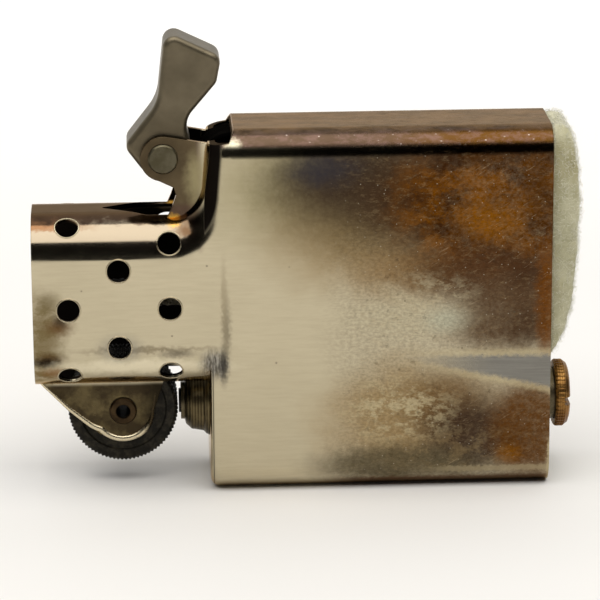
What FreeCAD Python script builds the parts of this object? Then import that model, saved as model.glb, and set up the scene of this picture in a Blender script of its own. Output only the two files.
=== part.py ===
import FreeCAD, Part
import os
import Sketcher

# The inside unit of a flip-top windproof petrol lighter, lying on its narrow side.
# +X runs from the chimney's mouth to the felt at the bottom end, +Y through the thickness,
# +Z from the wheel side, which it lies on, up to the cam side. Millimetres throughout.

Vector = FreeCAD.Vector

SIZES = {
    # the drawn shell
    "shell_length": 50.2, "body_width": 36.0, "body_thickness": 11.2, "body_corner": 2.5,
    "sheet": 0.5, "wheel_shoulder": 33.2, "cam_shoulder": 29.8, "shoulder_round": 0.9,
    "chimney_low": 10.4, "chimney_high": 27.6, "chimney_corner": 4.2,
    "arch_foot": 33.9, "arch_lean": 0.7, "arch_round": 3.0, "mouth_strip": 0.9,
    "hole_dia": 2.25, "hole_outer": 46.75, "hole_middle": 41.87, "hole_inner": 36.95,
    "hole_row": 18.85, "hole_step": 3.85, "high_hole_outer": 53, "high_hole_inner": 27,
    "low_hole_outer": -39, "low_hole_inner": -33,
    # the ears that are bent out of the chimney, and the crest's slot between the cam's ears
    "ear_gap": 5.0, "ear_sheet": 0.5, "slot_tip": 43.3, "slot_full": 39.1,
    "cut_low": 34.2, "cut_high": 34.95, "cut_start": 36.3, "cut_end": 31.1,
    # spark wheel and its rivet
    "wheel_x": 41.7, "wheel_z": 7.8, "wheel_radius": 5.4, "wheel_width": 4.6, "tooth": 0.28,
    "wheel_lobe": 3.05, "rivet_radius": 0.95, "rivet_bore": 0.68, "rivet_head": 1.35,
    # cam lever and its rivet
    "cam_x": 37.38, "cam_z": 33.07, "cam_width": 4.7, "cam_lobe": 2.2, "cam_edge": 0.55,
    "lever_corner": 1.1, "lever_shin": 4.5, "lever_waist": 2.4, "hub_corner": 0.8,
    "pin_radius": 0.9, "pin_head": 1.45, "head_height": 0.35, "running_gap": 0.05,
    # flint tube, flint, spring and screw, all on the wheel's own height
    "tube_radius": 1.85, "tube_bore": 1.3, "tube_end": 36.0, "tube_foot": 2.6, "foot_proud": 0.9,
    "foot_depth": 1.6, "thread_depth": 5.5, "collar_radius": 3.5, "flint_radius": 1.2,
    "flint_length": 4.4, "flint_gap": 0.1, "thread_radius": 1.5, "head_radius": 3.25,
    "head_base": 0.95, "head_top": 2.4, "slot_width": 0.8, "slot_depth": 0.6, "pin_tip": 8.2,
    "spring_pin": 0.55, "nib_radius": 1.15, "nib_length": 1.3, "nib_stem": 4.0,
    "coil_radius": 0.85, "coil_wire": 0.17, "coil_turns": 18, "coil_slack": 0.25,
    # deck, wick, packing, felt
    "deck_sheet": 0.5, "wick_z": 19.0, "wick_radius": 1.4, "wick_tip": 45.8, "wick_tail": 5.0,
    "core_radius": 0.35, "core_proud": 0.35, "tuft_width": 4.7,
    "felt_depth": 3.0, "felt_proud": 2.65, "felt_split": 13.4, "felt_gap": 0.25,
    "felt_corner": 2.1, "leaf_width": 4.2, "leaf_sheet": 0.3,
}

# Outlines, as (distance along X, height) in millimetres.
# The cam lever's, from its pivot: foot, heel, shin, head's two ends, chin, waist, then the hub.
LEVER_OUTLINE = [(-2.0, -1.25), (-3.75, 1.1), (-0.45, 5.3), (0.35, 12.35), (5.75, 9.75),
                 (5.25, 7.2), (2.1, 3.5), (2.65, 1.4), (2.65, -1.4), (0.4, -2.75)]
LEVER_HEAD = [1, 3, 4, 5]
LEVER_SHIN = [2]
LEVER_WAIST = [6]
LEVER_HUB = [0, 7, 8, 9]
# A cam ear's, from the pivot: top edge down to the shoulder, and the front edge back up to the lobe.
CAM_EAR_OUTLINE = [(0.2, 2.2), (5.0, 1.35), (5.6, -6.1), (0.3, -5.9), (0.75, -4.9), (1.2, -3.6),
                   (1.0, -2.85), (-1.4, -1.7)]
# A wheel ear's, from the wheel's axis: mouth, down the front edge to the lobe, and up the back edge.
WHEEL_EAR_OUTLINE = [(-8.2, 3.15), (-5.45, 0.2), (-3.8, -1.15), (-2.17, -2.45), (0.0, 0.0),
                     (3.05, 0.0), (4.15, 3.35)]
# The leaf spring's centre line: clamped end, bend, and the foot on the lever's hub.
LEAF_POINTS = {"start": (13.0, 35.2), "bend": (30.2, 35.2), "middle": (33.2, 34.15),
               "low": (34.25, 31.6), "foot": (33.7, 29.9)}
# The cotton tufts: distance from the bottom end, height, half length and half height.
TUFTS = [(22.6, 27.6, 6.2, 6.7), (9.6, 27.6, 6.0, 6.7), (25.0, 13.5, 4.0, 3.6),
         (16.5, 13.5, 4.0, 3.6), (8.2, 13.5, 3.7, 3.6)]
# The felt flap's bulge: how far out of the end, as a share of the most, and the height over the split.
FELT_BULGE = [(0.12, 0.0), (0.5, 2.2), (0.83, 5.2), (1.0, 10.6), (1.0, 14.6), (0.93, 18.8),
              (0.8, 21.2), (0.55, 22.25), (0.12, 22.35)]

doc = FreeCAD.newDocument("lighter_insert")
sheet = doc.addObject("Spreadsheet::Sheet", "Sizes")
for row, (alias, value) in enumerate(SIZES.items(), 1):
    sheet.set(f"A{row}", alias)
    sheet.set(f"B{row}", str(value))
    sheet.setAlias(f"B{row}", alias)
doc.recompute()

# The bottom end of the shell: the box centre is at X = 0, so it depends on how far the felt stands out.
END = "(Sizes.shell_length - Sizes.felt_proud) / 2"
HALF = "Sizes.body_thickness / 2"
MIDDLE = "Sizes.body_width / 2"
EAR_IN = "Sizes.ear_gap / 2"
EAR_OUT = "(Sizes.ear_gap / 2 + Sizes.ear_sheet)"
AXIS_Y = (Vector(1, 0, 0), -90)     # turns a primitive's +Z to +Y
AXIS_X = (Vector(0, 1, 0), 90)      # turns a primitive's +Z to +X


def number(expression):
    """The value of an expression in the sheet's sizes."""
    return float(sheet.evalExpression(str(expression)))


def bind(thing, **expressions):
    """Binds properties to expressions; x, y and z are the placement's position."""
    for name, expression in expressions.items():
        target = f"Placement.Base.{name}" if name in ("x", "y", "z") else name
        thing.setExpression(target, str(expression))
    return thing


def back(distance):
    """X of a point that lies this far from the shell's bottom end, towards the chimney."""
    return f"{END} - ({distance})"


def primitive(kind, name, turn=None, **expressions):
    """A Part primitive whose sizes and place are bound to the sheet."""
    thing = doc.addObject(f"Part::{kind}", name)
    if turn:
        thing.Placement = FreeCAD.Placement(Vector(), FreeCAD.Rotation(*turn))
    return bind(thing, **expressions)


def box(name, x, y, z):
    """A box between two expressions along each axis."""
    return primitive("Box", name, x=x[0], y=y[0], z=z[0], Length=f"({x[1]}) - ({x[0]})",
                     Width=f"({y[1]}) - ({y[0]})", Height=f"({z[1]}) - ({z[0]})")


def outline(sketch, corners):
    """A closed straight-sided outline, each corner held by two distances from the sketch's origin."""
    points = [Vector(number(a), number(b), 0) for a, b in corners]
    for n, point in enumerate(points):
        sketch.addGeometry(Part.LineSegment(point, points[(n + 1) % len(points)]))
    for n, (across, up) in enumerate(corners):
        sketch.addConstraint(Sketcher.Constraint("Coincident", n, 2, (n + 1) % len(points), 1))
        for kind, expression in (("DistanceX", across), ("DistanceY", up)):
            key = sketch.addConstraint(Sketcher.Constraint(kind, -1, 1, n, 1, number(expression)))
            sketch.setExpression(f"Constraints[{key}]", str(expression))
    return sketch


def body_sketch(body, role, corners):
    """An outline on one of a body's own origin planes."""
    plane = next(f for f in body.Origin.OriginFeatures if f.Role == role)
    sketch = body.newObject("Sketcher::SketchObject", f"{body.Name}_sketch")
    sketch.AttachmentSupport = [(plane, "")]
    sketch.MapMode = "FlatFace"
    return outline(sketch, corners)


def padded(name, corners, width, role="XZ_Plane", rounds=()):
    """A body made by padding an outline both ways, with the named corners rounded afterwards."""
    body = doc.addObject("PartDesign::Body", name)
    pad = body.newObject("PartDesign::Pad", f"{name}_pad")
    pad.Profile = body_sketch(body, role, corners)
    pad.SideType = "Symmetric"
    bind(pad, Length=width)
    doc.recompute()
    for radius, chosen in rounds:
        picked = []
        for n in chosen:
            spot = Vector(number(corners[n][0]), 0, number(corners[n][1]))
            picked += edges_along_y(body.Shape, spot)
        rounded(body, picked, radius)
    return body


def edges_along_y(shape, spot):
    """The names of the straight edges along Y that pass through a point of the XZ plane."""
    near = 1e-3
    return [f"Edge{n}" for n, edge in enumerate(shape.Edges, 1)
            if max(edge.BoundBox.XLength, edge.BoundBox.ZLength) < near
            and abs(edge.BoundBox.XMin - spot.x) < near and abs(edge.BoundBox.ZMin - spot.z) < near]


def rounded(body, edge_names, radius):
    """Adds a fillet to a body."""
    base = body.Tip
    fillet = body.newObject("PartDesign::Fillet", f"{body.Name}_round")
    fillet.Base = (base, edge_names)
    bind(fillet, Radius=radius)
    doc.recompute()
    return fillet


def turned(name, profile, along="X", x="0", z="0"):
    """A turned body. Each profile corner is (distance along the axis, radius)."""
    body = doc.addObject("PartDesign::Body", name)
    sketch = body_sketch(body, "XZ_Plane" if along == "X" else "YZ_Plane", profile)
    revolution = body.newObject("PartDesign::Revolution", f"{name}_turn")
    revolution.Profile = sketch
    revolution.ReferenceAxis = (sketch, ["H_Axis"])
    bind(body, x=x, z=z)
    doc.recompute()
    return body


def cut(name, base, *tools):
    """Base less all the tools."""
    tool = tools[0]
    if len(tools) > 1:
        tool = doc.addObject("Part::MultiFuse", f"{name}_tools")
        tool.Shapes = list(tools)
    result = doc.addObject("Part::Cut", name)
    result.Base = base
    result.Tool = tool
    return result


def fuse(name, *shapes):
    """All the shapes in one solid."""
    result = doc.addObject("Part::MultiFuse", name)
    result.Shapes = list(shapes)
    result.Refine = True
    return result


# ---- the shell: outer block less inner block, then ears, slots and holes ----

def cam_half(name, inset, past):
    """The half of the block from the wick's line up: chimney crest, arch, wall and narrow side.

    The rounding along its edges shrinks from the chimney's to the body's round the arch."""
    top = f"Sizes.body_width - {inset}"
    crest = f"Sizes.chimney_high - {inset}"
    mouth = back(f"Sizes.shell_length + {past}")
    foot = f"{back('Sizes.arch_foot')} + {inset}"
    corners = [(f"{END} + {past}", MIDDLE), (mouth, MIDDLE), (mouth, crest), (foot, crest),
               (f"{foot} + Sizes.arch_lean", top), (f"{END} + {past}", top)]
    block = padded(name, corners, f"Sizes.body_thickness - 2 * {inset}",
                   rounds=[(f"Sizes.arch_round + {inset}", [3]),
                           (f"Sizes.body_corner + 0.1 - {inset}", [4])])
    wide = number(f"Sizes.chimney_corner - {inset}")
    narrow = number(f"Sizes.body_corner - {inset}")
    half, level = number(f"{HALF} - {inset}"), number(crest)
    chosen = []
    for n, edge in enumerate(block.Shape.Edges, 1):
        bounds = edge.BoundBox
        on_face = bounds.YLength < 1e-6 and abs(abs(bounds.YMin) - half) < 1e-6
        if not on_face or bounds.ZMin < number(MIDDLE) + 1e-3:
            continue
        if bounds.XLength < 1e-6 and bounds.XMin < number(mouth) + 1e-3:
            continue
        if bounds.ZMax < level + 1e-3:
            chosen.append((n, wide, wide))
        elif bounds.ZMin < level + 1e-3:
            starts_low = edge.valueAt(edge.FirstParameter).z < level + 1e-3
            chosen.append((n, wide, narrow) if starts_low else (n, narrow, wide))
        elif bounds.ZLength > 1e-6 or bounds.XMin > number(foot):
            chosen.append((n, narrow, narrow))
    fillet = doc.addObject("Part::Fillet", f"{name}_rounded")
    fillet.Base = block
    fillet.Edges = chosen
    return fillet


def low_half(name, x_range, low, radius, thickness, end_round=None):
    """A box up to the wick's line with its two lower long edges rounded, and its front end if asked."""
    block = box(f"{name}_block", x_range, (f"-({thickness}) / 2", f"({thickness}) / 2"),
                (low, f"{MIDDLE} + 1"))
    doc.recompute()
    bottom = number(low)
    edges = [(n, number(radius), number(radius)) for n, edge in enumerate(block.Shape.Edges, 1)
             if edge.BoundBox.ZMax < bottom + 1e-3 and edge.BoundBox.YLength < 1e-6]
    fillet = doc.addObject("Part::Fillet", f"{name}_rounded")
    fillet.Base = block
    fillet.Edges = edges
    if end_round is None:
        return fillet
    doc.recompute()
    front = number(x_range[0])
    end = doc.addObject("Part::Fillet", f"{name}_end")
    end.Base = fillet
    end.Edges = [(n, number(end_round), number(end_round))
                 for n, edge in enumerate(fillet.Shape.Edges, 1)
                 if edge.BoundBox.XMax < front + 1e-3 and edge.BoundBox.ZMax < number(MIDDLE) + 0.99]
    return end


def block(name, inset, past):
    """The whole outer form, made smaller all round by inset and longer at its open ends by past."""
    thickness = f"Sizes.body_thickness - 2 * {inset}"
    low = low_half(f"{name}_low", (f"{back('Sizes.wheel_shoulder')} + {inset}", f"{END} + {past}"),
                   inset, f"Sizes.body_corner - {inset}", thickness,
                   f"Sizes.shoulder_round - {inset}")
    chimney = low_half(f"{name}_chimney", (back(f"Sizes.shell_length + {past}"),
                                           back("Sizes.cam_shoulder - 2")),
                       f"Sizes.chimney_low + {inset}", f"Sizes.chimney_corner - {inset}", thickness)
    return fuse(name, low, chimney, cam_half(f"{name}_high", inset, past))


def ear_pair(name, outline_points, lobe_x, lobe_z, lobe_radius, pin_radius):
    """Two ears either side of the gap: a plate with a round lobe about the rivet."""
    ears = []
    corners = [(f"{back(lobe_x)} + {along}", f"{lobe_z} + {up}") for along, up in outline_points]
    for side, (low, high) in (("near", (f"-{EAR_OUT}", f"-{EAR_IN}")), ("far", (EAR_IN, EAR_OUT))):
        plate = padded(f"{name}_{side}_plate", corners, "Sizes.ear_sheet")
        bind(plate, y=f"({low} + {high}) / 2")
        lobe = primitive("Cylinder", f"{name}_{side}_lobe", AXIS_Y, Radius=lobe_radius,
                         Height="Sizes.ear_sheet", x=back(lobe_x), y=low, z=lobe_z)
        ears += [plate, lobe]
    hole = primitive("Cylinder", f"{name}_hole", AXIS_Y, Radius=pin_radius, Height="10",
                     x=back(lobe_x), y="-5", z=lobe_z)
    return ears, hole


def corner_hole(name, distance, centre_z, angle, side):
    """A hole drilled square to the chimney's rounded corner, angle degrees from the flat face."""
    drill = primitive("Cylinder", name, Radius="Sizes.hole_dia / 2", Height="Sizes.chimney_corner + 1",
                      x=back(distance), y=f"{side} * ({HALF} - Sizes.chimney_corner)", z=centre_z)
    drill.Placement.Rotation = FreeCAD.Rotation(Vector(1, 0, 0), -side * (90 - angle))
    return drill


def chimney_holes():
    """Eight holes on each face: four on the flat and four on the rounded corners."""
    holes = []
    flat = [("Sizes.hole_outer", "Sizes.hole_row"), ("Sizes.hole_inner", "Sizes.hole_row"),
            ("Sizes.hole_middle", "Sizes.hole_row + Sizes.hole_step"),
            ("Sizes.hole_middle", "Sizes.hole_row - Sizes.hole_step")]
    for n, (distance, height) in enumerate(flat):
        holes.append(primitive("Cylinder", f"flat_hole_{n}", AXIS_Y, Radius="Sizes.hole_dia / 2",
                               Height="14", x=back(distance), y="-7", z=height))
    high = "Sizes.chimney_high - Sizes.chimney_corner"
    low = "Sizes.chimney_low + Sizes.chimney_corner"
    corners = [("Sizes.hole_outer", high, number("Sizes.high_hole_outer")),
               ("Sizes.hole_inner", high, number("Sizes.high_hole_inner")),
               ("Sizes.hole_outer", low, number("Sizes.low_hole_outer")),
               ("Sizes.hole_inner", low, number("Sizes.low_hole_inner"))]
    for side in (-1, 1):
        for n, (distance, height, angle) in enumerate(corners):
            holes.append(corner_hole(f"corner_hole_{side + 1}_{n}", distance, height, angle, side))
    return holes


def insert_shell():
    """The drawn shell, open at the chimney's mouth and at the bottom end."""
    inner = block("inner_block", "Sizes.sheet", "1")
    hollow = cut("hollow_block", block("outer_block", "0", "0"), inner)

    wheel_ears, wheel_hole = ear_pair("wheel_ear", WHEEL_EAR_OUTLINE, "Sizes.wheel_x", "Sizes.wheel_z",
                                      "Sizes.wheel_lobe", "Sizes.rivet_radius")
    cam_ears, cam_hole = ear_pair("cam_ear", CAM_EAR_OUTLINE, "Sizes.cam_x", "Sizes.cam_z",
                                  "Sizes.cam_lobe", "Sizes.pin_radius")

    gap = (f"-{EAR_IN}", EAR_IN)
    wheel_slot = box("wheel_slot", (back("Sizes.shell_length - Sizes.mouth_strip"),
                                    back("Sizes.wheel_shoulder")), gap, ("2", "Sizes.chimney_low + 1.2"))
    cam_slot = crest_slot()
    corner_cut = padded("corner_cut", [(back("Sizes.cut_start"), "Sizes.cut_low"),
                                       (back("Sizes.cut_end"), "Sizes.cut_high"),
                                       (back("Sizes.cut_end - 0.75"), "Sizes.body_width + 0.5"),
                                       (back("Sizes.cut_start"), "Sizes.body_width + 0.5")],
                        "Sizes.body_thickness + 2")
    tube_hole = primitive("Cylinder", "tube_hole", AXIS_X, Radius="Sizes.tube_radius + 0.02", Height="3",
                          x=back("Sizes.wheel_shoulder + 1"), z="Sizes.wheel_z")
    opened = cut("opened_block", hollow, wheel_slot, cam_slot, corner_cut)
    joined = fuse("shell_with_ears", opened, *wheel_ears, *cam_ears)
    return cut("insert_shell", joined, wheel_hole, cam_hole, tube_hole, *chimney_holes())


def crest_slot():
    """The slot that the cam's ears leave in the crest, tapering to a tip towards the mouth."""
    level = "Sizes.chimney_high - 1.2"
    wide, tip = back("Sizes.slot_full"), back("Sizes.slot_tip")
    body = doc.addObject("PartDesign::Body", "cam_slot")
    pad = body.newObject("PartDesign::Pad", "cam_slot_pad")
    pad.Profile = body_sketch(body, "XY_Plane",
                              [(tip, "-0.15"), (wide, f"-({EAR_IN})"),
                               (back("Sizes.cam_shoulder"), f"-({EAR_IN})"),
                               (back("Sizes.cam_shoulder"), EAR_IN), (wide, EAR_IN), (tip, "0.15")])
    bind(pad, Length=f"Sizes.cut_high - ({level})")
    bind(body, z=level)
    doc.recompute()
    return body


# ---- spark wheel and cam ----

def spark_wheel():
    """The toothed steel wheel that strikes the flint, with a bore that runs on its rivet."""
    teeth = 60
    outer, root = SIZES["wheel_radius"], SIZES["wheel_radius"] - SIZES["tooth"]
    points = []
    for n in range(teeth):
        for share, radius in ((0.0, root), (0.42, outer), (0.58, outer)):
            turn = FreeCAD.Rotation(Vector(0, 1, 0), 360 * (n + share) / teeth)
            points.append(turn.multVec(Vector(radius, 0, 0)))
    width = SIZES["wheel_width"]
    blank = Part.Face(Part.makePolygon(points + points[:1])).extrude(Vector(0, width, 0))
    bore = Part.makeCylinder(SIZES["rivet_radius"] + SIZES["running_gap"], width, Vector(), Vector(0, 1, 0))
    ring = Part.makeCylinder(outer, width, Vector(), Vector(0, 1, 0))
    ring = ring.makeChamfer(0.35, [e for e in ring.Edges if e.Curve.TypeId == "Part::GeomCircle"])
    wheel = doc.addObject("Part::Feature", "spark_wheel")
    wheel.Shape = blank.common(ring).cut(bore)
    wheel.Placement.Base = Vector(number(back("Sizes.wheel_x")), -width / 2, SIZES["wheel_z"])
    return wheel


def cam_lever():
    """The snap lever: a hub with a flat for the leaf spring, a waist and a leaning head."""
    x, z = back("Sizes.cam_x"), "Sizes.cam_z"
    corners = [(f"{x} + {along}", f"{z} + {up}") for along, up in LEVER_OUTLINE]
    lever = padded("cam_lever", corners, "Sizes.cam_width",
                   rounds=[("Sizes.lever_corner", LEVER_HEAD), ("Sizes.lever_shin", LEVER_SHIN),
                           ("Sizes.lever_waist", LEVER_WAIST), ("Sizes.hub_corner", LEVER_HUB)])
    half = number("Sizes.cam_width / 2")
    rims = [f"Edge{n}" for n, edge in enumerate(lever.Shape.Edges, 1)
            if abs(abs(edge.BoundBox.YMin) - half) < 1e-6 and edge.BoundBox.YLength < 1e-6]
    rounded(lever, rims, "Sizes.cam_edge")
    bore = primitive("Cylinder", "cam_bore", AXIS_Y, Radius="Sizes.pin_radius + Sizes.running_gap",
                     Height="10", x=x, y="-5", z=z)
    lever.Label = "cam_lever_blank"
    return cut("cam_lever_bored", lever, bore)


def cam_spring():
    """The leaf that snaps the lever: along the narrow side, then down in front of the deck to the hub."""
    start, bend, middle, low, foot = (Vector(number(back(distance)), 0, height)
                                      for distance, height in LEAF_POINTS.values())
    path = Part.Wire([Part.LineSegment(start, bend).toShape(), Part.Arc(bend, middle, low).toShape(),
                      Part.LineSegment(low, foot).toShape()])
    width, thick = SIZES["leaf_width"], SIZES["leaf_sheet"]
    strip = path.makeOffset2D(thick / 2, openResult=True, join=2)
    other = path.makeOffset2D(-thick / 2, openResult=True, join=2)
    first, last = strip.OrderedVertexes, other.OrderedVertexes
    ends = [Part.LineSegment(first[n].Point, min((v.Point for v in last),
            key=lambda p: (p - first[n].Point).Length)).toShape() for n in (0, -1)]
    edges = Part.__sortEdges__(strip.Edges + other.Edges + ends)
    leaf = doc.addObject("Part::Feature", "cam_spring")
    leaf.Shape = Part.Face(Part.Wire(edges)).extrude(Vector(0, width, 0))
    leaf.Placement.Base = Vector(0, -width / 2, 0)
    return leaf


def rivet(name, x, z, radius, head, bore=None):
    """A rivet through both ears, headed over at each end; tubular when it has a bore."""
    reach = EAR_OUT
    tall = "Sizes.head_height"
    rise = "Sizes.head_height * 0.45"
    inner = bore or "0"
    profile = [(f"-{reach} - {tall}", inner), (f"-{reach} - {tall}", f"{head} - {rise}"),
               (f"-{reach} - {tall} + {rise}", head), (f"-{reach}", head), (f"-{reach}", radius),
               (reach, radius), (reach, head), (f"{reach} + {tall} - {rise}", head),
               (f"{reach} + {tall}", f"{head} - {rise}"), (f"{reach} + {tall}", inner)]
    return turned(name, profile, "Y", x=back(x), z=z)


# ---- flint side ----

def flint_tube():
    """The long tube that the flint, its nib, the spring and the screw share."""
    start, foot, thread_end = "-Sizes.tube_end", "-Sizes.foot_depth", "-Sizes.thread_depth"
    threaded = "Sizes.thread_radius + Sizes.running_gap"
    return turned("flint_tube",
                  [(start, "Sizes.tube_bore"), (start, "Sizes.tube_radius"), (foot, "Sizes.tube_radius"),
                   (foot, "Sizes.tube_foot"), ("Sizes.foot_proud", "Sizes.tube_foot"),
                   ("Sizes.foot_proud", threaded), (thread_end, threaded), (thread_end, "Sizes.tube_bore")],
                  x=END, z="Sizes.wheel_z")


def tube_ferrule():
    """The collar that seats the tube in the shoulder, turned down in steps towards the wheel."""
    bore, collar = "Sizes.tube_radius + 0.01", "Sizes.collar_radius"
    face = "-Sizes.wheel_shoulder - 0.01"
    return turned("tube_ferrule",
                  [(face, bore), (face, collar), (f"{face} - 0.3", f"{collar} - 0.15"),
                   (f"{face} - 0.6", f"{collar} - 0.45"), (f"{face} - 1.75", f"{collar} - 0.65"),
                   (f"{face} - 2.3", "Sizes.tube_radius + 0.5"), (f"{face} - 2.45", bore)],
                  x=END, z="Sizes.wheel_z")


def flint_screw():
    """Slotted brass screw: domed head outside, thread in the tube's end, and a pin for the spring."""
    head, tip = "Sizes.head_radius", "-Sizes.pin_tip"
    thread_end, under = "-Sizes.thread_depth + 0.3", "Sizes.head_base - 0.02"
    screw = turned("flint_screw",
                   [(tip, "0"), (tip, "Sizes.spring_pin"), (thread_end, "Sizes.spring_pin"),
                    (thread_end, "Sizes.thread_radius - 0.3"),
                    (f"{thread_end} + 0.3", "Sizes.thread_radius"), (under, "Sizes.thread_radius"),
                    (under, f"{head} - 0.15"),
                    ("Sizes.head_base + 0.15", head), ("Sizes.head_top - 0.5", head),
                    ("Sizes.head_top - 0.15", f"{head} - 0.25"), ("Sizes.head_top", f"{head} - 0.65"),
                    ("Sizes.head_top", "0")],
                   x=END, z="Sizes.wheel_z")
    screw.Label = "flint_screw_blank"
    outer = f"{END} + Sizes.head_top"
    slot = box("screw_slot", (f"{outer} - Sizes.slot_depth", f"{outer} + 1"), ("-5", "5"),
               ("Sizes.wheel_z - Sizes.slot_width / 2", "Sizes.wheel_z + Sizes.slot_width / 2"))
    return cut("flint_screw_slotted", screw, slot)


def flint():
    """The flint rod, just short of the wheel."""
    tip = "-Sizes.wheel_x + Sizes.wheel_radius + Sizes.flint_gap"
    return turned("flint", [(tip, "0"), (tip, "Sizes.flint_radius"),
                            (f"{tip} + Sizes.flint_length", "Sizes.flint_radius"),
                            (f"{tip} + Sizes.flint_length", "0")], x=END, z="Sizes.wheel_z")


def flint_nib():
    """The brass nib between the spring and the flint, with a stem inside the coil."""
    face = "-Sizes.wheel_x + Sizes.wheel_radius + Sizes.flint_gap + Sizes.flint_length + 0.01"
    step, stem = f"{face} + Sizes.nib_length", f"{face} + Sizes.nib_stem"
    return turned("flint_nib", [(face, "0"), (face, "Sizes.nib_radius"), (step, "Sizes.nib_radius"),
                                (step, "Sizes.spring_pin + 0.05"), (stem, "Sizes.spring_pin + 0.05"),
                                (stem, "0")], x=END, z="Sizes.wheel_z")


def flint_spring():
    """The long coil spring in the flint tube, from the nib to the screw's pin."""
    nib_face = SIZES["wheel_x"] - SIZES["wheel_radius"] - SIZES["flint_gap"] - SIZES["flint_length"]
    start = nib_face - SIZES["nib_length"] - SIZES["coil_slack"]
    length = start - SIZES["thread_depth"] + SIZES["coil_slack"] - 0.2
    helix = Part.makeHelix(length / SIZES["coil_turns"], length, SIZES["coil_radius"])
    centre = Vector(SIZES["coil_radius"], 0, 0)
    circle = Part.Wire(Part.makeCircle(SIZES["coil_wire"], centre, Vector(0, 1, 0)))
    spring = doc.addObject("Part::Feature", "flint_spring")
    spring.Shape = Part.Wire(helix.Edges).makePipeShell([circle], True, True)
    spring.Placement = FreeCAD.Placement(Vector(number(END) - start, 0, SIZES["wheel_z"]),
                                         FreeCAD.Rotation(*AXIS_X))
    return spring


# ---- deck, wick, packing and felt ----

def deck_plate():
    """The plate that closes the fuel chamber, with holes for the wick and the flint tube."""
    front, rear = back("Sizes.cam_shoulder - 0.2"), back("Sizes.cam_shoulder - 0.2 - Sizes.deck_sheet")
    plate = box("deck_blank", (front, rear), (f"-({HALF}) + Sizes.sheet", f"{HALF} - Sizes.sheet"),
                ("Sizes.sheet", "Sizes.body_width - Sizes.sheet"))
    doc.recompute()
    radius = number("Sizes.body_corner - Sizes.sheet")
    trimmed = doc.addObject("Part::Fillet", "deck_rounded")
    trimmed.Base = plate
    trimmed.Edges = [(n, radius, radius) for n, edge in enumerate(plate.Shape.Edges, 1)
                     if edge.BoundBox.YLength < 1e-6 and edge.BoundBox.ZLength < 1e-6]
    holes = []
    for name, height, size in (("tube", "Sizes.wheel_z", "Sizes.tube_radius + 0.02"),
                               ("wick", "Sizes.wick_z", "Sizes.wick_radius + 0.55")):
        holes.append(primitive("Cylinder", f"deck_{name}_hole", AXIS_X, Radius=size, Height="4",
                               x=back("Sizes.cam_shoulder + 1"), z=height))
    notch = box("deck_notch", (back("Sizes.cam_shoulder + 1"), back("Sizes.cam_shoulder - 2")),
                ("-Sizes.leaf_width / 2 - 0.1", "Sizes.leaf_width / 2 + 0.1"),
                ("Sizes.body_width - 1.1", "Sizes.body_width"))
    return cut("deck_plate", trimmed, notch, *holes)


def wick_eyelet():
    """The brass eyelet that leads the wick through the deck."""
    bore, wall = "Sizes.wick_radius + 0.03", "Sizes.wick_radius + 0.5"
    face = "-(Sizes.cam_shoulder - 0.2)"
    rear = f"{face} + Sizes.deck_sheet"
    return turned("wick_eyelet",
                  [(f"{face} - 0.9", bore), (f"{face} - 0.9", f"{wall} - 0.25"),
                   (f"{face} - 0.6", f"{wall} + 0.25"), (f"{face} - 0.01", f"{wall} + 0.7"),
                   (f"{face} - 0.01", wall), (f"{rear} + 0.01", wall),
                   (f"{rear} + 0.01", f"{wall} + 0.45"), (f"{rear} + 0.35", f"{wall} + 0.4"),
                   (f"{rear} + 0.35", bore)],
                  x=END, z="Sizes.wick_z")


def wick_braid():
    """The braided wick, from inside the chimney to the felt, round its core wire."""
    core = "Sizes.core_radius + 0.01"
    return turned("wick_braid",
                  [("-Sizes.wick_tip", core), ("-Sizes.wick_tip", "Sizes.wick_radius - 0.3"),
                   ("-Sizes.wick_tip + 0.3", "Sizes.wick_radius"), ("-Sizes.wick_tail", "Sizes.wick_radius"),
                   ("-Sizes.wick_tail", core)],
                  x=END, z="Sizes.wick_z")


def wick_core():
    """The copper wire inside the wick, its end just showing."""
    return turned("wick_core_wire",
                  [("-Sizes.wick_tip - Sizes.core_proud", "0"),
                   ("-Sizes.wick_tip - Sizes.core_proud", "Sizes.core_radius"),
                   ("-Sizes.wick_tail + 0.2", "Sizes.core_radius"), ("-Sizes.wick_tail + 0.2", "0")],
                  x=END, z="Sizes.wick_z")


def packing_balls():
    """Five tufts of cotton packing that hold the fuel round the wick."""
    balls = []
    for n, (distance, height, half_length, half_height) in enumerate(TUFTS, 1):
        ball = primitive("Ellipsoid", f"packing_ball_{n}", Radius2=half_length, Radius3="Sizes.tuft_width",
                         Radius1=half_height, Angle1="-90", Angle2="90", Angle3="360",
                         x=back(distance), z=height)
        balls.append(ball)
    return balls


def felt_form(name):
    """The rounded bar that both felt pieces are cut from, a little smaller than the shell's inside."""
    spare = "(Sizes.sheet + Sizes.felt_gap)"
    bar = box(f"{name}_bar", (f"{END} - Sizes.felt_depth", f"{END} + Sizes.felt_proud + 1"),
              (f"-({HALF}) + {spare}", f"{HALF} - {spare}"), (spare, "Sizes.body_width + 1"))
    doc.recompute()
    radius = number("Sizes.felt_corner")
    rounded_bar = doc.addObject("Part::Fillet", f"{name}_form")
    rounded_bar.Base = bar
    rounded_bar.Edges = [(n, radius, radius) for n, edge in enumerate(bar.Shape.Edges, 1)
                         if edge.BoundBox.YLength < 1e-6 and edge.BoundBox.ZLength < 1e-6]
    return rounded_bar


def shared(name, *shapes):
    """What all the shapes have in common."""
    result = doc.addObject("Part::MultiCommon", name)
    result.Shapes = list(shapes)
    return result


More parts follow.
